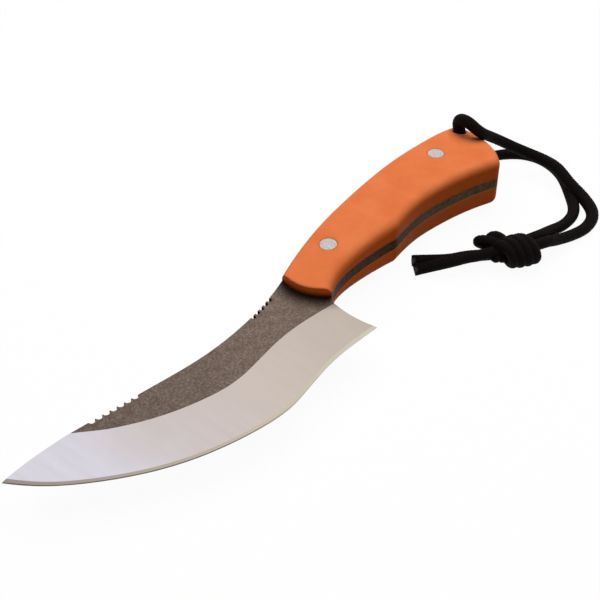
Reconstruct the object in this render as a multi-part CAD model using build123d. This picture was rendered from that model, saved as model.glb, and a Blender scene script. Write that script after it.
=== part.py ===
from build123d import *
import math
import os

os.makedirs("parts", exist_ok=True)

# Fixed-blade full-tang knife with two riveted grip scales and a knotted wrist lanyard, lying on its side.
# Millimetres. +X runs to the tip, +Y to the cutting edge and +Z out of the upper scale.
# The origin is on the flat land of the lower scale, where the knife rests; Y = 0 runs through both
# rivets.

# ---- Driving dimensions ----
blade_length = 118.8        # heel to tip
handle_length = 115.0       # heel to the end of the butt
blade_depth = 34.0          # from the line through the rivets to the belly of the edge
handle_depth = 22.0         # from that line to the belly corner of the butt
steel_thickness = 4.0
edge_thickness = 0.5        # left by the main grind
bevel_width = 0.8           # of the narrow cutting bevel along the edge
edge_flat = 0.08            # left at the cutting edge itself
belly_corner_radius = 3.6   # where the butt meets the belly
spine_corner_radius = 4.5   # where the butt meets the spine
cusp_radius = 5.0           # between the finger groove and the palm

scale_thickness = 8.0       # of each grip scale, over its land
front_thickness = 3.8       # at the heel line
front_fall_run = 76.5       # the length over which its outer face falls to that
rear_thickness = 5.4        # at the end of the butt
rear_fall_run = 19.0
grip_rounding = 3.0         # all round the grip; the front ends are left crisp
scale_front_radius = 15.5   # the scales' front ends are arcs, seen from above
scale_front_reach = 2.3     # how far those arcs pass the heel line

heel_x = 79.0               # blade's heel line, ahead of the origin
front_rivet_setback = 19.4  # from the heel line
rear_rivet_setback = 27.4   # from the end of the butt
rivet_head = 6.0            # diameters
rivet_sleeve = 4.4
rivet_post = 3.0
rivet_head_depth = 2.0      # from the grip's face above the rivet's axis
sleeve_clearance = 0.1      # on the radius, in the steel and the scales
head_clearance = 0.05
post_clearance = 0.02
rivet_end_gap = 0.2         # between the sleeve's end and the post's head, and at the post's end

lanyard_hole = 5.0          # diameter
upper_hole_mouth = 0.6      # chamfers; the cord turns away sharply under the lower one
lower_hole_mouth = 1.4
lanyard_hole_setback = 6.0  # from the end of the butt
lanyard_hole_y = -2.3
cord = 4.1                  # diameter

thumb_notches = 5           # drilled notches on the spine ahead of the handle
thumb_notch = 1.7           # diameter
thumb_notch_inset = 0.55    # of the notch's centre, from the spine
thumb_notch_pitch = 2.5
thumb_notch_start = 8.0     # along the spine
tip_notches = 7             # half-round notches on the spine near the point
tip_notch = 2.2
tip_notch_pitch = 2.6
tip_notch_start = 69.0

knot_length = 14.4          # of the lanyard's knot, between its two ends
knot_middle_radius = 6.1
knot_end_radius = 5.6
knot_neck_radius = 2.25     # round each tail where it leaves the knot
knot_neck_length = 12.0
bight_radius = 2.8          # of each turn of cord that stands out of the knot

# ---- Worked out from those ----
half_steel = steel_thickness / 2
half_grip = half_steel + scale_thickness
front_rivet_x = heel_x - front_rivet_setback
sleeve_hole = rivet_sleeve + 2 * sleeve_clearance
butt_x = heel_x - handle_length
rear_rivet_x = butt_x + rear_rivet_setback
land_front = heel_x - front_fall_run        # the ends of the flat land on the scale
land_rear = butt_x + rear_fall_run
lanyard_x = butt_x + lanyard_hole_setback
beyond = 4 * half_grip      # past every face of the knife

# The solids are modelled about the steel's middle plane, and raised onto the lower land at the end.
onto_land = Pos(0, 0, half_grip)


def on_blade(along, across):
    """A point at shares of the blade's length, from the heel line, and of its depth, from the rivets."""
    return (heel_x + along * blade_length, across * blade_depth)


def on_handle(along, across):
    """A point at shares of the handle's length, from the heel line, and of its depth, from the rivets."""
    return (heel_x - along * handle_length, across * handle_depth)


def peg(x, y, diameter, low, high):
    """An upright cylinder between two heights."""
    return Pos(x, y, (low + high) / 2) * Cylinder(diameter / 2, high - low)


# ---- Outline of the steel ----
front_spine = on_handle(-0.031, -0.17)
tip = on_blade(1, -0.356)
talon = on_blade(-0.008, 0.982)
heel_corner = on_handle(0.007, 0.686)
cusp = on_handle(0.372, 0.586)
belly_corner = on_handle(0.855, 1.0)
spine_corner = on_handle(0.985, -0.327)
blade_spine = Spline(
    front_spine,
    on_blade(0.10, -0.057),
    on_blade(0.20, -0.013),
    on_blade(0.30, -0.001),
    on_blade(0.41, -0.028),
    on_blade(0.53, -0.1),
    on_blade(0.66, -0.187),
    on_blade(0.79, -0.272),
    on_blade(0.90, -0.331),
    tip,
)
cutting_edge = Spline(
    talon,
    on_blade(0.07, 0.956),
    on_blade(0.15, 0.934),
    on_blade(0.23, 0.947),
    on_blade(0.31, 0.976),
    on_blade(0.39, 0.999),
    on_blade(0.48, 0.95),
    on_blade(0.57, 0.859),
    on_blade(0.67, 0.718),
    on_blade(0.76, 0.535),
    on_blade(0.85, 0.291),
    on_blade(0.93, 0.012),
    tip,
)
heel = ThreePointArc(talon, on_blade(0.003, 0.703), heel_corner)
finger_groove = Spline(
    heel_corner,
    on_handle(0.06, 0.545),
    on_handle(0.14, 0.473),
    on_handle(0.24, 0.486),
    on_handle(0.33, 0.545),
    cusp,
)
rear_belly = Spline(
    cusp,
    on_handle(0.43, 0.55),
    on_handle(0.51, 0.534),
    on_handle(0.62, 0.605),
    on_handle(0.75, 0.777),
    belly_corner,
)
butt = ThreePointArc(belly_corner, on_handle(0.953, 0.45), spine_corner)
handle_spine = Spline(
    spine_corner,
    on_handle(0.88, -0.391),
    on_handle(0.76, -0.475),
    on_handle(0.64, -0.523),
    on_handle(0.50, -0.523),
    on_handle(0.37, -0.498),
    on_handle(0.24, -0.448),
    on_handle(0.12, -0.355),
    front_spine,
)
grip_lines = [handle_spine, butt, rear_belly, finger_groove]


def with_round_corners(face):
    """The face with the handle's three corners rounded."""
    for point, radius in (
        (belly_corner, belly_corner_radius),
        (spine_corner, spine_corner_radius),
        (cusp, cusp_radius),
    ):
        face = face.fillet_2d(radius, [face.vertices().sort_by_distance((*point, 0))[0]])
    return face


# ---- Blade with its full tang ----
# The flat meets the main grind along the first points; each faces a place on the edge,
# given as a share of the edge's length.
grind_rows = [
    (on_blade(0.006, 0.479), 0.010),
    (on_blade(0.12, 0.412), 0.110),
    (on_blade(0.24, 0.4), 0.208),
    (on_blade(0.38, 0.435), 0.325),
    (on_blade(0.49, 0.374), 0.452),
    (on_blade(0.59, 0.243), 0.576),
    (on_blade(0.68, 0.068), 0.700),
    (on_blade(0.765, -0.153), 0.826),
    (on_blade(0.84, -0.382), 0.920),
    (on_blade(0.93, -0.662), 1.0),
]
grind_overrun = 0.12        # share of its width that the grind is cut past each of its sides
bevel_inner_reach = 3 * bevel_width
bevel_outer_reach = 2 * bevel_width


def grind_chords():
    """Matching points on the flat and on the edge, with one more pair past each end of the blade."""
    pairs = []
    for flat_point, share in grind_rows:
        edge_point = cutting_edge.position_at(share)
        pairs.append((Vector(*flat_point, half_steel), Vector(edge_point.X, edge_point.Y, edge_thickness / 2)))
    first = tuple(2 * a - b for a, b in zip(pairs[0], pairs[1]))
    last = tuple(2 * a - b for a, b in zip(pairs[-1], pairs[-2]))
    return [first, *pairs, last]


def above_ruled(inner, outer):
    """All that lies above the ruled surface between two smooth rows of matching points."""
    steps = [i / (len(inner) - 1) for i in range(len(inner))]
    rows = [Edge.make_spline(row, parameters=steps) for row in (inner, outer)]
    return extrude(Face.make_surface_from_curves(*rows), beyond, dir=(0, 0, 1))


def bevel_point(flat, edge, reach):
    """A point of the cutting bevel: reach is how far it lies outside the edge."""
    out = (edge - flat).normalized()
    rise = (edge_thickness - edge_flat) / 2 / bevel_width
    return Vector(edge.X + out.X * reach, edge.Y + out.Y * reach, edge_flat / 2 - reach * rise)


def spine_notch(distance, diameter, inset):
    """A round cutter on the blade's spine, some way along it."""
    place = blade_spine.position_at(distance, position_mode=PositionMode.LENGTH)
    along = blade_spine.tangent_at(distance, position_mode=PositionMode.LENGTH)
    return peg(place.X - along.Y * inset, place.Y + along.X * inset, diameter, -beyond, beyond)


def make_blade():
    """The steel: full tang, main grinds, cutting bevels, spine notches and holes."""
    outline = Wire([blade_spine, cutting_edge, heel, *grip_lines])
    steel = extrude(with_round_corners(Face(outline)), half_steel, both=True)
    chords = grind_chords()
    main_grind = above_ruled(
        [flat - (edge - flat) * grind_overrun for flat, edge in chords],
        [edge + (edge - flat) * grind_overrun for flat, edge in chords],
    )
    cutting_bevel = above_ruled(
        [bevel_point(*chord, -bevel_inner_reach) for chord in chords],
        [bevel_point(*chord, bevel_outer_reach) for chord in chords],
    )
    for grind in (main_grind, cutting_bevel):
        steel -= grind
        steel -= mirror(grind, about=Plane.XY)
    for i in range(thumb_notches):
        steel -= spine_notch(thumb_notch_start + i * thumb_notch_pitch, thumb_notch, thumb_notch_inset)
    for i in range(tip_notches):
        steel -= spine_notch(tip_notch_start + i * tip_notch_pitch, tip_notch, 0)
    for rivet_x in (front_rivet_x, rear_rivet_x):
        steel -= peg(rivet_x, 0, sleeve_hole, -beyond, beyond)
    return steel - peg(lanyard_x, lanyard_hole_y, lanyard_hole, -beyond, beyond)


# ---- Grip scales ----
blank_overhang = 2.5        # of the blank past the handle's outline, cut away at the scale's front end


def arc_fall(distance, run, end_thickness):
    """How far the outer face has fallen a distance past the land, on its arc to the scale's end."""
    fall = scale_thickness - end_thickness
    radius = (run**2 + fall**2) / (2 * fall)
    return radius - math.sqrt(radius**2 - distance**2)


def outer_height(x):
    """Half the grip's thickness at a place along it: a flat land between two long arcs."""
    if x > land_front:
        return half_grip - arc_fall(x - land_front, front_fall_run, front_thickness)
    if x < land_rear:
        return half_grip - arc_fall(land_rear - x, rear_fall_run, rear_thickness)
    return half_grip


def contour():
    """All that lies under the upper scale's outer face, down to the steel's middle plane."""
    rear_end = butt_x - 2 * grip_rounding
    front_end = heel_x + 2 * scale_thickness
    stations = [rear_end, (rear_end + land_rear) / 2, land_rear]
    stations += [land_front, (land_front + front_end) / 2, front_end]
    top = [(x, outer_height(x)) for x in stations]
    lines = [ThreePointArc(*top[:3]), Line(*top[2:4]), ThreePointArc(*top[3:])]
    lines += Polyline(top[-1], (front_end, 0), (rear_end, 0), top[0]).edges()
    return extrude(Plane.XZ * Face(Wire(lines)), beyond, both=True)


def ahead_of_front():
    """All that lies ahead of the arc at which a scale ends."""
    centre_x = heel_x + scale_front_reach - scale_front_radius
    groove_side = (finger_groove @ 0).Y
    centre_y = (groove_side + front_spine[1]) / 2 - grip_rounding
    ahead = Pos(centre_x + beyond, 0, 0) * Box(2 * beyond, 2 * beyond, 2 * beyond)
    return ahead - peg(centre_x, centre_y, 2 * scale_front_radius, -beyond, beyond)


def scale_blank():
    """The upper scale's block to the handle's outline, carried on past its front end."""
    groove_end = finger_groove @ 0 - (finger_groove % 0) * blank_overhang
    spine_end = handle_spine @ 1 + (handle_spine % 1) * blank_overhang
    closing = Polyline(handle_spine @ 1, spine_end, groove_end, finger_groove @ 0)
    face = with_round_corners(Face(Wire([*grip_lines, *closing.edges()])))
    return Pos(0, 0, half_steel) * extrude(face, scale_thickness) & contour()


def in_outer_face(edge):
    """Whether an edge of the scale runs round its outer face, and not across it."""
    middle = edge @ 0.5
    across = abs((edge @ 0).X - (edge @ 1).X) < 0.01
    return abs(middle.Z - outer_height(middle.X)) < 0.02 and not across


def make_scale():
    """A contoured grip scale with a rounded rim, rivet counterbores and the lanyard's hole."""
    blank = scale_blank()
    scale = fillet([edge for edge in blank.edges() if in_outer_face(edge)], grip_rounding)
    scale -= ahead_of_front()
    for rivet_x in (front_rivet_x, rear_rivet_x):
        seat = outer_height(rivet_x) - rivet_head_depth
        scale -= peg(rivet_x, 0, sleeve_hole, 0, seat)
        scale -= peg(rivet_x, 0, rivet_head + 2 * head_clearance, seat, beyond)
    return scale - peg(lanyard_x, lanyard_hole_y, lanyard_hole, 0, beyond)


def hole_mouth(chamfer):
    """The cutter for the chamfer where the lanyard's hole comes out of the upper scale."""
    cone = Cone(lanyard_hole / 2, lanyard_hole / 2 + 2 * chamfer, 2 * chamfer)
    return Pos(lanyard_x, lanyard_hole_y, outer_height(lanyard_x)) * cone


# ---- Rivets: a tubular half from above, a solid half from below ----
def rivet_head_solid(x):
    """A rivet's upper head, ground flush with the scale's outer face."""
    return peg(x, 0, rivet_head, outer_height(x) - rivet_head_depth, beyond) & contour()


def make_rivet_socket(x):
    """The upper half: a head and a sleeve that takes the post."""
    seat = outer_height(x) - rivet_head_depth
    sleeve_end = rivet_end_gap - seat
    socket = rivet_head_solid(x) + peg(x, 0, rivet_sleeve, sleeve_end, seat)
    return socket - peg(x, 0, rivet_post + 2 * post_clearance, sleeve_end, seat)


def make_rivet_post(x):
    """The lower half: a head and a solid post that is pressed up into the sleeve."""
    seat = outer_height(x) - rivet_head_depth
    return mirror(rivet_head_solid(x), about=Plane.XY) + peg(x, 0, rivet_post, -seat, seat - rivet_end_gap)


# ---- Lanyard ----
# One cord through the hole, doubled over and tied in an overhand knot with two free tails. Each
# route is the cord's centre line; between the knife and the knot both strands come down to the floor.
knot_middle = Vector(4.6, 46.1, 3.3)
knot_axis = Vector(1, 0, 0).rotate(Axis.Z, -23.5)       # from the strands to the tails
strand_seats = [(1.1, 0.9), (-3.1, 0.9)]    # across and above the knot's axis: the upper, then the lower
neck_end = Vector(15.7, 33.35, 1.55)
neck_axis = Vector(1, 0, 0).rotate(Axis.Z, -41.5)
tail_seats = [(-1.9, -1.3), (1.9, 1.3)]
bights = [
    (Vector(5.0, 42.5, 3.5), Vector(8.6, 32.3, 3.6)),
    (Vector(3.2, 43.0, 3.9), Vector(4.6, 35.3, 4.0)),
]


def seat_point(centre, axis, seat, ahead):
    """A point ahead of a seat on a plane square to an axis."""
    across = axis.rotate(Axis.Z, 90)
    return tuple(centre + axis * ahead + across * seat[0] + Vector(0, 0, seat[1]))


def to_knot(seat, last_run):
    """The last two points of a strand that meets the knot."""
    entry = knot_middle - knot_axis * (knot_length / 2)
    return [seat_point(entry, knot_axis, seat, ahead) for ahead in (-last_run, 0)]


def from_knot(seat, first_run):
    """The first two points of a tail that leaves the knot's neck."""
    return [seat_point(neck_end, neck_axis, seat, ahead) for ahead in (0, first_run)]


upper_strand = [
    (-30.0, -2.3, 15.7),
    (-30.0, -2.3, 19.5),
    (-31.6, -0.17, 22.3),
    (-33.94, 2.95, 22.45),
    (-35.8, 5.2, 19.6),
    (-39.0, 6.1, 14.4),
    (-45.1, 9.2, 10.2),
    (-50.1, 12.7, 6.8),
    (-53.7, 17.3, 5.0),
    (-53.7, 24.5, 4.9),
    (-51.8, 32.2, 4.8),
    (-48.5, 40.3, 3.1),
    (-45.2, 48.1, 0.6),
    (-37.9, 55.2, -0.75),
    (-27.8, 56.7, -0.75),
    (-19.2, 54.4, -0.3),
    (-10.9, 52.3, 1.6),
    *to_knot(strand_seats[0], 4.0),
]
lower_strand = [
    (-30.0, -2.3, 5.05),
    (-30.0, -2.3, 1.65),
    (-32.36, -1.9, -0.75),
    (-36.2, -1.2, -0.75),
    (-42.0, 0.1, -0.75),
    (-48.2, 2.2, -0.75),
    (-54.1, 6.4, -0.75),
    (-59.1, 12.8, -0.75),
    (-59.9, 21.6, -0.75),
    (-55.0, 31.7, -0.75),
    (-45.0, 40.6, -0.75),
    (-34.4, 48.5, -0.75),
    (-23.8, 49.3, -0.3),
    (-14.2, 47.6, 1.7),
    *to_knot(strand_seats[1], 4.0),
]
upper_tail = [
    *from_knot(tail_seats[0], 3.4),
    (20.4, 26.4, -0.5),
    (24.5, 21.2, -0.75),
    (29.1, 15.6, -0.75),
]
lower_tail = [
    *from_knot(tail_seats[1], 3.0),
    (24.2, 29.3, 2.3),
    (27.6, 25.6, 1.2),
    (30.4, 22.4, 0.2),
    (33.4, 19.3, -0.75),
]


def cord_tube(name, points):
    """A round tube along a route, each corner an arc as large as its two runs allow."""
    route = [Vector(*point) for point in points]
    radii = []
    for before, here, after in zip(route, route[1:], route[2:]):
        shorter_run = min((here - before).length, (after - here).length)
        half_turn = math.radians((here - before).get_angle(after - here)) / 2
        radii.append(0.45 * shorter_run / math.tan(half_turn))
    path = FilletPolyline(*points, radius=radii)
    tube = sweep(Plane(origin=path @ 0, z_dir=path % 0) * Circle(cord / 2), path=path)
    expected = math.pi * (cord / 2) ** 2 * path.length
    print(f"{name}: length {path.length:.1f}, volume {tube.volume:.1f} of {expected:.1f}")
    print("  radii", [round(radius, 1) for radius in radii])
    return tube


def make_knot():
    """The knot's outer form: a barrel, a flat neck round both tails and two standing turns."""
    half = knot_length / 2
    side = ThreePointArc((-half, knot_end_radius), (0, knot_middle_radius), (half, knot_end_radius))
    ends = Polyline((half, knot_end_radius), (half, 0), (-half, 0), (-half, knot_end_radius))
    barrel = revolve(Face(Wire([side, *ends.edges()])), axis=Axis.X)
    knot = Plane(knot_middle, x_dir=knot_axis, z_dir=(0, 0, 1)) * barrel
    low_seat, high_seat = (Vector(*seat_point(neck_end, neck_axis, seat, 0)) for seat in tail_seats)
    neck = SlotCenterToCenter((high_seat - low_seat).length, 2 * knot_neck_radius)
    knot += extrude(Plane(neck_end, x_dir=high_seat - low_seat, z_dir=neck_axis) * neck, -knot_neck_length)
    for root, turn in bights:
        knot += extrude(Plane(root, z_dir=turn - root) * Circle(bight_radius), (turn - root).length)
        knot += Pos(turn) * Sphere(bight_radius)
    return knot


# ---- Pieces ----
scale = make_scale()
knife = {
    "blade": make_blade(),
    "upper_scale": scale - hole_mouth(upper_hole_mouth),
    "lower_scale": mirror(scale - hole_mouth(lower_hole_mouth), about=Plane.XY),
    "front_rivet_socket": make_rivet_socket(front_rivet_x),
    "front_rivet_post": make_rivet_post(front_rivet_x),
    "rear_rivet_socket": make_rivet_socket(rear_rivet_x),
    "rear_rivet_post": make_rivet_post(rear_rivet_x),
}
lanyard = {
    "lanyard_bore_run": peg(lanyard_x, lanyard_hole_y, cord, lower_strand[0][2], upper_strand[0][2]),
    "lanyard_upper_strand": cord_tube("upper strand", upper_strand),
    "lanyard_lower_strand": cord_tube("lower strand", lower_strand),
    "lanyard_upper_tail": cord_tube("upper tail", upper_tail),
    "lanyard_lower_tail": cord_tube("lower tail", lower_tail),
    "lanyard_knot": make_knot(),
}

for name, solid in knife.items():
    export_step(onto_land * solid, f"parts/{name}.step")
for name, solid in lanyard.items():
    export_step(solid, f"parts/{name}.step")
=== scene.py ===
import math

import bpy
import numpy as np
from mathutils import Matrix, Vector


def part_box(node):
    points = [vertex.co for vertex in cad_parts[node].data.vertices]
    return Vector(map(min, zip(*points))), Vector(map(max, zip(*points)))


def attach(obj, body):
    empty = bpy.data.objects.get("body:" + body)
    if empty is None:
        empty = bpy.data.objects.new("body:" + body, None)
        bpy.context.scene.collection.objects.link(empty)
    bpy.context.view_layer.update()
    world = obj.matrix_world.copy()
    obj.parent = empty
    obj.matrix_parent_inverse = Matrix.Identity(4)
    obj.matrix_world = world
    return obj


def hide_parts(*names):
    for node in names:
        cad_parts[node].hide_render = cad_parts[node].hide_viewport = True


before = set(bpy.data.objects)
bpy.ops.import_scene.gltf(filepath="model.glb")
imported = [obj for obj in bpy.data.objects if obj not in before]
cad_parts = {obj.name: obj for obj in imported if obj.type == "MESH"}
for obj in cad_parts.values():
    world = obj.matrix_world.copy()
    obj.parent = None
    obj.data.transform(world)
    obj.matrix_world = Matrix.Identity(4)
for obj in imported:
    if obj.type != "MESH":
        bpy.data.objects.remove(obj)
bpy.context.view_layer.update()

# ---- Sizes taken from the frame ----
MM = 0.001
ROOT = "root"
blade_low, blade_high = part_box("blade")
heel_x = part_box("upper_scale")[1].x
tip_x = blade_high.x
middle_z = (blade_low.z + blade_high.z) / 2
half_steel = (blade_high.z - blade_low.z) / 2
floor_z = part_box("lanyard_lower_strand")[0].z
cord_diameter = 4.1 * MM

# ---- Places on the knife ----
scale_front = (0.0658, 0.0022)          # centre of the arc at the scales' front ends
scale_front_radius = 0.0155
scale_front_x = heel_x - 8 * MM         # the arc counts only in front of this
painted_shadow_band = (0.8 * MM, 7.0 * MM)      # the painted shadow band on the steel, measured forwards from the arc
painted_shade_front = (-0.8 * MM, -0.2 * MM)    # where the painted shade on the scale's front wall begins, measured the same way
painted_shade_height = 2.2 * MM                  # how far up that wall the painted shade reaches
flat_end = (0.1725, -0.0083)            # the grinder has caught the last sliver of the flat beyond this line
flat_end_normal = (0.688, 0.725)
side_change_x = (0.014, 0.034)          # the steel's side darkens forwards between these
# Below this height the strip's side carries a painted highlight, as if its lower rim caught the light.
painted_highlight_rim_z = middle_z - 0.84 * half_steel
lip_reach = 0.12 * MM                   # the dark lip along the edge, above and below the blade's middle
lip_way = (0.28, 0.55)                  # it comes in between these shares of the way to the tip

# How upright a face's normal is: 1 on the flats, a little less on the grinds and bevels, 0 on the sides.
flat_upright = 0.9985
grind_upright = 0.985
face_upright = 0.7
side_upright = 0.5

# ---- Textures, in features per metre, and how much of each shows ----
mottle_scale = 1250
blotch_scale = 260
mottle_share = 0.75                     # of the steel's wear; the rest is blotches
patch_scale = 38
patch_share = 0.3
streak_scales = (420, 40, 40)
streak_tone = 0.08
streak_share = 0.32
# How dark the painted shadow on the steel in front of the scales gets.
painted_shadow_share = 0.9
lip_darkness = 0.85
cloud_scale = 90
wall_upright = (0.1, 0.8)               # the walls take a painted shade tint, a deeper orange, from the second to the first
# How dark the painted shade low on the scales' front wall gets.
painted_shade_share = 0.92
blast_scale = 6000
rivet_scale = 1400
yarn_scale = 1200
core_scale = 2500

# ---- Colours: ramps of (place, colour) stops and plain colours ----
washed_at_heel = [(0.34, (0.135, 0.096, 0.074)), (0.50, (0.215, 0.157, 0.124)), (0.68, (0.345, 0.270, 0.225))]
washed_at_tip = [(0.34, (0.080, 0.057, 0.048)), (0.50, (0.142, 0.102, 0.087)), (0.68, (0.240, 0.187, 0.165))]
# The ground steel's own colour, with a painted reflection that turns it paler and bluer towards the tip.
ground_steel_and_tip_reflection = [
    (0.16, (0.560, 0.480, 0.408)),
    (0.46, (0.648, 0.560, 0.500)),
    (0.80, (0.664, 0.592, 0.584)),
    (0.97, (0.740, 0.720, 0.800)),
]
ground_streak = (0.400, 0.352, 0.336)
cutting_bevel = [(0.00, (0.640, 0.576, 0.480)), (0.45, (0.592, 0.520, 0.416)), (1.00, (0.320, 0.276, 0.264))]
dark_edge_lip = (0.100, 0.075, 0.055)
rear_side = [(0.38, (0.120, 0.080, 0.052)), (0.62, (0.300, 0.210, 0.140))]
front_side = [(0.38, (0.035, 0.020, 0.012)), (0.62, (0.140, 0.085, 0.052))]
# The painted highlight on the lower rim of the strip between the scales.
painted_rim_highlight = (0.550, 0.440, 0.300)
# The colour of the painted shadow on the steel in front of the scales.
painted_shadow_colour = (0.020, 0.012, 0.010)
orange_top = [(0.35, (0.800, 0.192, 0.060)), (0.65, (0.870, 0.232, 0.078))]
# A painted shade tint for the walls: a deeper, less blue orange than the top.
shaded_wall_orange = (0.880, 0.185, 0.034)
# The colour of the painted shade low on the scales' front wall.
painted_shade_colour = (0.050, 0.008, 0.002)
rivet_grey = [(0.35, (0.480, 0.420, 0.420)), (0.65, (0.720, 0.660, 0.670))]
black_yarn = [(0.35, (0.0020, 0.0012, 0.0010)), (0.70, (0.0070, 0.0045, 0.0040))]
singed_core = [(0.40, (0.012, 0.009, 0.009)), (0.70, (0.050, 0.042, 0.044))]
white = (1.0, 1.0, 1.0)
floor_bounce = (0.28, 0.18, 0.06)       # what the floor throws back onto the knife
room_tint = (0.93, 0.95, 1.0)


# ---- Node helpers. Their owner is a material or the world. ----
def new_material(name):
    material = bpy.data.materials.new(name)
    material.use_nodes = True
    material.node_tree.nodes.clear()
    return material


def add(owner, kind, inputs=None, **settings):
    """A node with its settings; inputs maps a socket's name or number to a value or an output socket."""
    node = owner.node_tree.nodes.new(kind)
    for key, value in settings.items():
        setattr(node, key, value)
    for key, value in (inputs or {}).items():
        if isinstance(value, bpy.types.NodeSocket):
            owner.node_tree.links.new(value, node.inputs[key])
        else:
            node.inputs[key].default_value = value
    return node


def math_node(owner, operation, first, second=0.0):
    return add(owner, "ShaderNodeMath", {0: first, 1: second}, operation=operation).outputs[0]


def product(owner, first, second):
    return math_node(owner, "MULTIPLY", first, second)


def fade(owner, value, start, end, at_start=0.0, at_end=1.0):
    """A value mapped from the range start to end onto another, and held at its two ends."""
    limits = {0: value, 1: start, 2: end, 3: at_start, 4: at_end}
    return add(owner, "ShaderNodeMapRange", limits).outputs[0]


def axes(owner, vector):
    """The x, y and z of a vector."""
    return list(add(owner, "ShaderNodeSeparateXYZ", {0: vector}).outputs)


def own_place(owner):
    """Each point's place, in the object's own space."""
    return add(owner, "ShaderNodeTexCoord").outputs["Object"]


def ramp(owner, factor, stops):
    """A colour ramp through (place, colour) stops."""
    node = add(owner, "ShaderNodeValToRGB", {0: factor})
    elements = node.color_ramp.elements
    while len(elements) < len(stops):
        elements.new(1.0)
    for element, (place, colour) in zip(elements, stops):
        element.position = place
        element.color = (*colour, 1)
    return node.outputs[0]


def mix(owner, factor, first, second):
    """Two colours mixed, each an output socket or a plain colour."""
    colours = [value if isinstance(value, bpy.types.NodeSocket) else (*value, 1) for value in (first, second)]
    inputs = {0: factor, 6: colours[0], 7: colours[1]}
    return add(owner, "ShaderNodeMix", inputs, data_type="RGBA").outputs[2]


def noise(owner, scale, detail=3, roughness=0.6, vector=None):
    """Noise in the object's own space; scale is in features per metre."""
    inputs = {"Vector": vector or own_place(owner), "Scale": scale, "Detail": detail, "Roughness": roughness}
    return add(owner, "ShaderNodeTexNoise", inputs).outputs[0]


def finish_surface(owner, shader):
    """Send a shader, or a mix of shaders, to its owner's output."""
    kind = "ShaderNodeOutputWorld" if isinstance(owner, bpy.types.World) else "ShaderNodeOutputMaterial"
    add(owner, kind, {0: shader.outputs[0]})
    return owner


def finish_material(m, colour, roughness, metallic=0.0, specular=0.5, grain=None, depth=0.0, rounding=0.0):
    """The material's shader, with the depth of the grain's bump and a rounding that softens edges."""
    surface = {
        "Base Color": colour,
        "Roughness": roughness,
        "Metallic": metallic,
        "Specular IOR Level": specular,
    }
    if grain:
        bump = {"Height": grain, "Distance": depth, "Strength": 1.0}
        if rounding:
            bump["Normal"] = add(m, "ShaderNodeBevel", {"Radius": rounding}).outputs[0]
        surface["Normal"] = add(m, "ShaderNodeBump", bump).outputs[0]
    return finish_surface(m, add(m, "ShaderNodeBsdfPrincipled", surface))


# ---- Materials ----
def past_scale_front(m, x, y, band):
    """How far a point lies past the scales' front arc: 0 at the band's start and 1 at its end."""
    shift_x = math_node(m, "SUBTRACT", x, scale_front[0])
    shift_y = math_node(m, "SUBTRACT", y, scale_front[1])
    square = math_node(m, "ADD", product(m, shift_x, shift_x), product(m, shift_y, shift_y))
    distance = math_node(m, "SQRT", square)
    return fade(m, distance, scale_front_radius + band[0], scale_front_radius + band[1])


def past_flat_end(m, x, y):
    """1 beyond the line where the flat ends and 0 before it."""
    reach = math_node(m, "ADD", product(m, x, flat_end_normal[0]), product(m, y, flat_end_normal[1]))
    line_reach = flat_end[0] * flat_end_normal[0] + flat_end[1] * flat_end_normal[1]
    return math_node(m, "GREATER_THAN", reach, line_reach)


def ground_colour(m, along):
    """Bright ground steel that turns paler and bluer towards the tip, a painted reflection, with soft streaks
    square to the edge from the belt.
    """
    stretched = add(m, "ShaderNodeMapping", {"Vector": own_place(m), "Scale": streak_scales}).outputs[0]
    streaks = noise(m, 1.0, vector=stretched)
    patches = product(m, noise(m, patch_scale, roughness=0.5), patch_share)
    tone = math_node(m, "ADD", math_node(m, "ADD", along, patches), product(m, streaks, streak_tone))
    return mix(m, product(m, streaks, streak_share), ramp(m, tone, ground_steel_and_tip_reflection), ground_streak)


def side_colour(m, x, z, wear):
    """The dark, unpolished sides. The strip between the scales has a painted highlight along its lower rim at
    its rear.
    """
    # A painted highlight along the strip's lower rim, at its rear.
    rear = mix(m, math_node(m, "LESS_THAN", z, painted_highlight_rim_z), ramp(m, wear, rear_side), painted_rim_highlight)
    return mix(m, fade(m, x, *side_change_x), rear, ramp(m, wear, front_side))


def bevel_colour(m, z, along):
    """The narrow cutting bevels, with a dark lip along the edge that comes in towards the tip."""
    off_middle = math_node(m, "ABSOLUTE", math_node(m, "SUBTRACT", z, middle_z))
    lip = math_node(m, "LESS_THAN", off_middle, lip_reach)
    lip = product(m, lip, fade(m, along, *lip_way, 0.0, lip_darkness))
    return mix(m, lip, ramp(m, along, cutting_bevel), dark_edge_lip)


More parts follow.
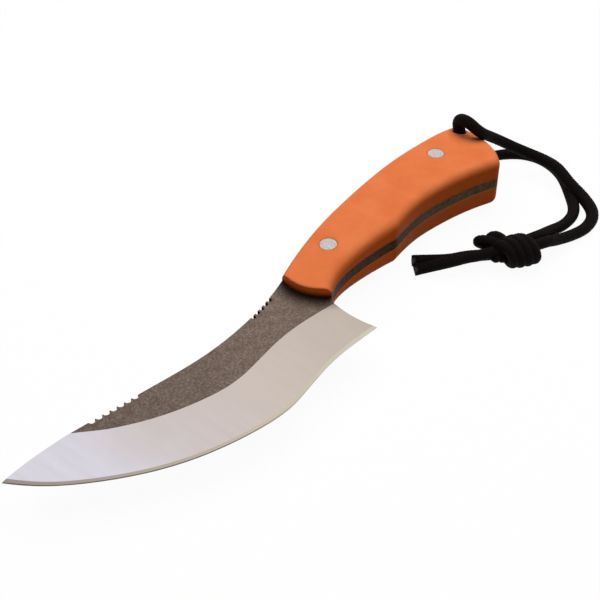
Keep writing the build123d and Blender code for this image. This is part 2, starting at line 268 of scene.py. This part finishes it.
def steel_material():
    """Stone-washed flats and tang, bright ground faces towards the edge and dark, unpolished sides, with a
    painted shadow on the steel just in front of the scales.
    """
    m = new_material("blade_steel")
    x, y, z = axes(m, own_place(m))
    true_normal = add(m, "ShaderNodeNewGeometry").outputs["True Normal"]
    upright = math_node(m, "ABSOLUTE", axes(m, true_normal)[2])
    facing = math_node(m, "GREATER_THAN", upright, face_upright)
    side = math_node(m, "LESS_THAN", upright, side_upright)
    bevel = product(m, math_node(m, "LESS_THAN", upright, grind_upright), facing)
    tilted = math_node(m, "LESS_THAN", upright, flat_upright)
    ground = product(m, math_node(m, "MAXIMUM", tilted, past_flat_end(m, x, y)), facing)

    along = fade(m, x, heel_x, tip_x)
    mottle = noise(m, mottle_scale, detail=5)
    blotches = product(m, noise(m, blotch_scale, roughness=0.5), 1 - mottle_share)
    wear = math_node(m, "ADD", product(m, mottle, mottle_share), blotches)
    washed = mix(m, along, ramp(m, wear, washed_at_heel), ramp(m, wear, washed_at_tip))
    faces = mix(m, bevel, mix(m, ground, washed, ground_colour(m, along)), bevel_colour(m, z, along))
    # A painted shadow: the steel just in front of the scales' front arc is darkened where the scales shade
    # it.
    painted_shadow_mask = math_node(m, "SUBTRACT", 1.0, past_scale_front(m, x, y, painted_shadow_band))
    painted_shadow_mask = product(m, painted_shadow_mask, math_node(m, "GREATER_THAN", x, scale_front_x))
    painted_shadow_mask = product(m, painted_shadow_mask, painted_shadow_share)
    colour = mix(m, side, mix(m, painted_shadow_mask, faces, painted_shadow_colour), side_colour(m, x, z, wear))

    roughness = fade(m, ground, 0.0, 1.0, 0.52, 0.34)
    metallic = math_node(m, "SUBTRACT", 1.0, side)
    grain = product(m, mottle, math_node(m, "SUBTRACT", 1.0, ground))
    return finish_material(m, colour, roughness, metallic, specular=0.05, grain=grain, depth=0.05 * MM)


def grip_material():
    """Orange glass-fibre laminate, finely blasted, with a painted shade tint on its walls and painted shade
    low on its front wall.
    """
    m = new_material("grip_laminate")
    x, y, z = axes(m, own_place(m))
    upright = math_node(m, "ABSOLUTE", axes(m, add(m, "ShaderNodeTexCoord").outputs["Normal"])[2])
    # The walls get a painted shade tint, a deeper, less blue orange than the top.
    wall = fade(m, upright, *wall_upright, 1.0, 0.0)
    colour = mix(m, wall, ramp(m, noise(m, cloud_scale, roughness=0.55), orange_top), shaded_wall_orange)
    # Painted shade low on the scales' front wall, in the corner where it meets the blade.
    low = fade(m, z, blade_high.z, blade_high.z + painted_shade_height, painted_shade_share, 0.0)
    painted_shade_mask = product(m, low, past_scale_front(m, x, y, painted_shade_front))
    painted_shade_mask = product(m, painted_shade_mask, math_node(m, "GREATER_THAN", x, scale_front_x))
    colour = mix(m, painted_shade_mask, colour, painted_shade_colour)
    grain = noise(m, blast_scale)
    return finish_material(m, colour, 0.5, specular=0.04, grain=grain, depth=0.02 * MM, rounding=1.8 * MM)


def rivet_material():
    """Rivet heads, ground flush and scuffed."""
    m = new_material("rivet_steel")
    grain = noise(m, rivet_scale, detail=4, roughness=0.65)
    return finish_material(m, ramp(m, grain, rivet_grey), 0.38, metallic=1.0, grain=grain, depth=0.01 * MM)


def cord_material():
    """Black nylon yarn."""
    m = new_material("lanyard_cord")
    return finish_material(m, ramp(m, noise(m, yarn_scale), black_yarn), 0.7, specular=0.07)


def core_material():
    """The strands inside the cord, singed at the cut."""
    m = new_material("cord_core")
    return finish_material(m, ramp(m, noise(m, core_scale, detail=2), singed_core), 0.6, specular=0.2)


steel = steel_material()
grip = grip_material()
rivet = rivet_material()
black_cord = cord_material()
cord_core = core_material()
node_materials = {"blade": steel, "upper_scale": grip, "lower_scale": grip}
for name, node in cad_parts.items():
    node.data.materials.clear()
    node.data.materials.append(node_materials.get(name, rivet if "rivet" in name else black_cord))

# ---- Lanyard ----
# One braided cord. The routes are in millimetres and follow the part's own, but the upper strand rises from
# the hole in a rounder loop.
upper_strand = [
    (-30.0, -2.3, 15.70),
    (-30.0, -2.3, 17.49),
    (-28.8, -3.2, 24.08),
    (-26.5, 2.0, 26.48),
    (-28.0, 7.4, 22.43),
    (-37.3, 7.7, 16.13),
    (-43.6, 10.5, 11.49),
    (-48.0, 14.0, 7.96),
    (-51.0, 18.6, 5.68),
    (-51.1, 25.1, 5.32),
    (-49.6, 32.0, 5.05),
    (-45.8, 39.3, 2.72),
    (-42.9, 47.9, 0.55),
    (-36.6, 55.2, 0.0),
    (-27.8, 56.7, -0.75),
    (-19.2, 54.4, -0.30),
    (-10.9, 52.3, 1.60),
    (-5.2, 51.6, 4.20),
    (-1.6, 50.0, 4.20),
]
lower_strand = [
    (-30.0, -2.3, 5.05),
    (-30.0, -2.3, 1.65),
    (-32.36, -1.9, -0.75),
    (-36.2, -1.2, -0.75),
    (-42.0, 0.1, -0.75),
    (-48.2, 2.2, -0.75),
    (-54.1, 6.4, -0.75),
    (-59.1, 12.8, -0.75),
    (-59.9, 21.6, -0.75),
    (-55.0, 31.7, -0.75),
    (-45.0, 40.6, -0.75),
    (-34.4, 48.5, -0.75),
    (-23.8, 49.3, -0.3),
    (-14.2, 47.6, 1.7),
    (-6.91, 47.72, 4.2),
    (-3.24, 46.13, 4.2),
]
upper_tail = [
    (14.44, 31.93, 0.25),
    (16.99, 29.67, 0.25),
    (20.4, 26.4, -0.5),
    (24.5, 21.2, -0.75),
    (29.1, 15.6, -0.75),
]
lower_tail = [
    (16.96, 34.77, 2.85),
    (19.21, 32.79, 2.85),
    (24.2, 29.3, 2.3),
    (27.6, 25.6, 1.2),
    (30.4, 22.4, 0.2),
    (33.4, 19.3, -0.75),
]
braid_carriers = 8          # bundles of yarn in each direction
braid_pitch = 1.25 * MM     # between crossings, along the cord
braid_relief = 0.22 * MM
braid_mean = 0.6            # share of the relief that lies inside the cord's nominal diameter
ring_points = 40
ring_step = 0.22 * MM
core_shares = (0.62, 0.5)   # the sheath's inner rim and the core, as shares of a cut end's width


def spline_line(points):
    """Points close together on the smooth curve that a route steers, in metres."""
    curve = bpy.data.curves.new("route", "CURVE")
    curve.dimensions = "3D"
    spline = curve.splines.new("NURBS")
    spline.points.add(len(points) - 1)
    for target, point in zip(spline.points, points):
        target.co = (*(value * MM for value in point), 1)
    spline.order_u = 3
    spline.use_endpoint_u = True
    spline.resolution_u = 24
    guide = bpy.data.objects.new("route", curve)
    mesh = guide.to_mesh()
    line = np.array([tuple(vertex.co) for vertex in mesh.vertices])
    bpy.data.objects.remove(guide)
    bpy.data.curves.remove(curve)
    return even_steps(line, ring_step)


def reach_along(line):
    """How far along a line each of its points lies."""
    return np.concatenate([[0], np.cumsum(np.linalg.norm(np.diff(line, axis=0), axis=1))])


def even_steps(line, step):
    """The line resampled at an even step."""
    reach = reach_along(line)
    places = np.linspace(0, reach[-1], int(reach[-1] / step) + 2)
    return np.stack([np.interp(places, reach, line[:, axis]) for axis in range(3)], axis=1)


def side_directions(line):
    """Unit tangents and two steady side directions along a line."""
    tangents = np.gradient(line, axis=0)
    tangents /= np.linalg.norm(tangents, axis=1)[:, None]
    side = np.cross(tangents[0], (0.3, 0.2, 1.0))
    sides = []
    for tangent in tangents:
        side = side - tangent * side.dot(tangent)
        side = side / np.linalg.norm(side)
        sides.append(side)
    sides = np.array(sides)
    return tangents, sides, np.cross(tangents, sides)


def braid_height(around, along):
    """Relief of a diamond braid, 0 to 1: each crossing shows one bundle, rounded across its run."""
    one_way = around + along
    other_way = around - along
    upper = (np.floor(one_way) + np.floor(other_way)) % 2
    return np.where(upper > 0.5, np.abs(np.sin(np.pi * one_way)), np.abs(np.sin(np.pi * other_way)))


def tube_rings(line, swell):
    """Rings of points round a line, with the braid's relief. Swell says how full the cord is along it."""
    tangents, sides, others = side_directions(line)
    reach = reach_along(line)
    angles = np.linspace(0, 2 * np.pi, ring_points, endpoint=False)
    around, along = np.meshgrid(angles / (2 * np.pi) * braid_carriers, reach / braid_pitch)
    fullness = np.interp(reach / reach[-1], np.linspace(0, 1, len(swell)), swell)[:, None]
    radius = cord_diameter / 2 * fullness + (braid_height(around, along) - braid_mean) * braid_relief
    sideways = np.cos(angles)[None, :, None] * sides[:, None, :]
    otherways = np.sin(angles)[None, :, None] * others[:, None, :]
    return line[:, None, :] + radius[:, :, None] * (sideways + otherways)


def cut_end(rings, line, lean):
    """The rings cut off at the line's end by a plane that leans by the given vector."""
    tangent = line[-1] - line[-2]
    tangent = tangent / np.linalg.norm(tangent)
    normal = tangent + np.array(lean)
    beyond = np.maximum(0, (rings - line[-1]) @ normal) / (tangent @ normal)
    return rings - beyond[:, :, None] * tangent


def add_cut_face(vertices, faces, ring):
    """A cord's cut face: a dark sheath round a paler core."""
    start = sum(len(block) for block in vertices)
    middle = ring.mean(axis=0)
    count = len(ring)
    for share in core_shares:
        vertices.append(middle + (ring - middle) * share)
    outer = [start - count + index for index in range(count)]
    rim = list(range(start, start + count))
    for first, second in ((outer, start), (rim, start + count)):
        for i in range(count):
            following = (i + 1) % count
            faces.append([first[i], first[following], second + following, second + i])
    faces.append(list(range(start + count, start + 2 * count)))


def braided_piece(name, lines, swell=(1, 1), lean=None):
    """One mesh of braided tubes along lines, closed by flat ends. Cut ends lean and show the core."""
    vertices, faces, core_faces = [], [], []
    for line in lines:
        rings = tube_rings(line, swell)
        if lean:
            rings = cut_end(rings, line, lean)
        start = sum(len(block) for block in vertices)
        vertices.append(rings.reshape(-1, 3))
        count = len(rings)
        row, column = np.meshgrid(np.arange(count - 1), np.arange(ring_points), indexing="ij")
        following = (column + 1) % ring_points
        quads = np.stack([row * ring_points + column, row * ring_points + following,
                          (row + 1) * ring_points + following, (row + 1) * ring_points + column], axis=-1)
        faces += (quads.reshape(-1, 4) + start).tolist()
        first_ring = list(range(start, start + ring_points))
        faces.append(first_ring[::-1])
        if lean:
            add_cut_face(vertices, faces, rings[-1])
            core_faces.append(len(faces) - 1)
        else:
            faces.append([index + (count - 1) * ring_points for index in first_ring])
    mesh = bpy.data.meshes.new(name)
    mesh.from_pydata(np.concatenate(vertices).tolist(), [], faces)
    mesh.update()
    mesh.shade_smooth()
    mesh.materials.append(black_cord)
    mesh.materials.append(cord_core)
    for index in core_faces:
        mesh.polygons[index].material_index = 1
        mesh.polygons[index].use_smooth = False
    piece = bpy.data.objects.new(name, mesh)
    bpy.context.scene.collection.objects.link(piece)
    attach(piece, ROOT)
    return piece


# How full each strand is, from the hole to the knot.
upper_swell = (1.15, 1.12, 1.0, 1.0, 1.04, 1.10, 1.15, 1.15, 1.04, 1.0, 1.0)
lower_swell = (1.0, 1.0, 1.0, 1.04, 1.10, 1.12, 1.12, 1.08, 1.0, 1.0, 1.0)
upper_line = spline_line(upper_strand)
lower_line = spline_line(lower_strand)
strand_a = braided_piece("lanyard_upper_cord", [upper_line], upper_swell)
strand_b = braided_piece("lanyard_lower_cord", [lower_line], lower_swell)

# ---- Knot ----
# An overhand knot in the doubled cord. Its points are millimetres along its axis, across it and up.
knot_middle = (4.6, 46.1, 3.3)
knot_turn = Matrix.Rotation(math.radians(-23.5), 3, "Z")
wrap_start = -5.1
wrap_length = 13.2
wrap_turns = 2.4
wrap_across = 4.75
wrap_up = 4.05
wrap_reach = 10.0           # where the wrap would close up on the axis
wrap_drift = -0.2           # across, for each millimetre along
wrap_shift = 0.3
wrap_steps = 40
wrap_gap = 1.3              # each of the two cords lies this far to one side of the wrap's middle
dive_share = 0.42           # the wrap's ends dive into the knot beyond this share of it, from its middle
dive_depth = 0.75
camera_side = 43.0          # degrees round the axis to the side that the photo shows


def in_knot(points):
    """Points given in the knot, moved to where the knot lies."""
    return [tuple(Vector(knot_middle) + knot_turn @ Vector(point)) for point in points]


def wrap_route(shift):
    """One cord of the knot's wrap: a helix, fullest at its middle, whose ends dive into the knot."""
    points = []
    for i in range(wrap_steps + 1):
        share = i / wrap_steps - 0.5
        along = shift + wrap_start + (share + 0.5) * wrap_length
        angle = math.radians(camera_side + 180) + share * wrap_turns * 2 * math.pi
        dive = max(0.0, abs(share) - dive_share) / (0.5 - dive_share)
        fullness = math.sqrt(1 - (along / wrap_reach) ** 2) * (1 - dive_depth * dive)
        across = wrap_drift * (1 + along) + wrap_across * fullness * math.cos(angle)
        points.append((along + wrap_shift, across, wrap_up * fullness * math.sin(angle)))
    return points


# Two bights stand out at the knot's tail end, and both strands run into its other end.
bight_routes = [
    [(1.3, 0.0, 0.8), (3.9, -3.6, 0.6), (7.0, -7.3, 1.4), (9.9, -9.6, 1.9),
     (10.6, -11.9, 0.1), (8.4, -12.3, -1.7), (5.3, -9.6, -2.7), (1.9, -5.6, -3.0)],
    [(0.5, 0.2, 0.1), (2.9, -3.9, 0.3), (3.6, -7.7, 1.9), (5.1, -10.2, 1.8),
     (6.0, -11.1, -0.6), (4.6, -10.1, -2.3), (2.8, -7.2, -3.4)],
]
through_routes = [
    [(-7.2, 1.1, 0.9), (-3.2, 1.1, 0.9), (2.0, 0.0, 0.0)],
    [(-7.2, -3.1, 0.9), (-3.2, -3.1, 0.9), (2.0, -1.5, 0.0)],
]
tail_routes = [
    [*in_knot([(-2.0, -1.5, 0.0), (4.0, -3.6, -1.6), (9.0, -5.4, -2.2)]), *upper_tail],
    [*in_knot([(-2.0, -0.5, 0.6), (4.0, -2.0, 0.4), (9.0, -3.6, 0.2)]), *lower_tail],
]
knot_routes = [wrap_route(-wrap_gap), wrap_route(wrap_gap), *bight_routes, *through_routes]
knot_piece = braided_piece("lanyard_overhand_knot", [spline_line(in_knot(route)) for route in knot_routes])
tail_lines = [spline_line(route) for route in tail_routes]
tails_piece = braided_piece("lanyard_tails", tail_lines, lean=(0.1, 0.45, 0.55))

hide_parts("lanyard_upper_strand")
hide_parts("lanyard_lower_strand")
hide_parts("lanyard_knot")
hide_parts("lanyard_upper_tail")
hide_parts("lanyard_lower_tail")

# ---- Stage ----
floor_size = 6.0
floor_glow = 0.95           # share of plain white in the floor as seen; the rest is lit and keeps the shadow
room_strength = 0.05
key_place = (-0.12, -0.12, 0.85)
key_target = (0.05, 0.0, 0.0)
key_size = 1.1
key_power = 10.2


def make_floor():
    """A white floor. Its bounce onto the knife is kept low, as in the photo."""
    m = new_material("floor")
    path = add(m, "ShaderNodeLightPath").outputs
    mirrored = math_node(m, "MAXIMUM", path["Is Glossy Ray"], path["Is Transmission Ray"])
    seen = math_node(m, "MAXIMUM", path["Is Camera Ray"], mirrored)
    lit = add(m, "ShaderNodeBsdfDiffuse", {"Color": mix(m, seen, floor_bounce, white)})
    glow = add(m, "ShaderNodeEmission", {"Color": (*white, 1), "Strength": 1.0})
    share = product(m, seen, floor_glow)
    finish_surface(m, add(m, "ShaderNodeMixShader", {0: share, 1: lit.outputs[0], 2: glow.outputs[0]}))
    bpy.ops.mesh.primitive_plane_add(size=floor_size, location=(0.07, 0.02, floor_z))
    floor = bpy.context.object
    floor.name = "floor"
    floor.data.materials.append(m)


def make_world():
    """A dim room that camera and mirror rays see as white."""
    world = bpy.data.worlds.new("studio")
    bpy.context.scene.world = world
    world.use_nodes = True
    world.node_tree.nodes.clear()
    path = add(world, "ShaderNodeLightPath").outputs
    seen = math_node(world, "MAXIMUM", path["Is Camera Ray"], path["Is Glossy Ray"])
    room = add(world, "ShaderNodeBackground", {"Color": (*room_tint, 1), "Strength": room_strength})
    backdrop = add(world, "ShaderNodeBackground", {"Color": (*white, 1), "Strength": 1.0})
    blend = {0: seen, 1: room.outputs[0], 2: backdrop.outputs[0]}
    finish_surface(world, add(world, "ShaderNodeMixShader", blend))


def make_key():
    """One large soft light overhead, which the steel doesn't mirror."""
    data = bpy.data.lights.new("key", "AREA")
    data.shape = "SQUARE"
    data.size = key_size
    data.energy = key_power
    light = bpy.data.objects.new("key", data)
    light.location = key_place
    light.rotation_mode = "QUATERNION"
    light.rotation_quaternion = (Vector(key_target) - Vector(key_place)).to_track_quat("-Z", "Y")
    light.visible_glossy = False
    bpy.context.scene.collection.objects.link(light)


make_floor()
make_world()
make_key()

# ---- Camera, as fitted to the photo ----
camera_place = (0.3283, 0.1926, 0.2644)
camera_look = Vector((-0.61447, -0.46818, -0.635)).normalized()
image_right = Vector((-0.60784, 0.79406, 0.00273))
image_right = (image_right - camera_look * image_right.dot(camera_look)).normalized()
image_up = image_right.cross(camera_look)
camera_turn = Matrix((image_right, image_up, -camera_look)).transposed()
camera_data = bpy.data.cameras.new("camera")
camera_data.lens = 72.0
camera_data.sensor_width = 36.0
camera_data.clip_start = 0.01
camera_data.clip_end = 20.0
camera = bpy.data.objects.new("camera", camera_data)
bpy.context.scene.collection.objects.link(camera)
camera.matrix_world = Matrix.Translation(camera_place) @ camera_turn.to_4x4()
bpy.context.scene.camera = camera
bpy.context.scene.view_settings.view_transform = "Standard"
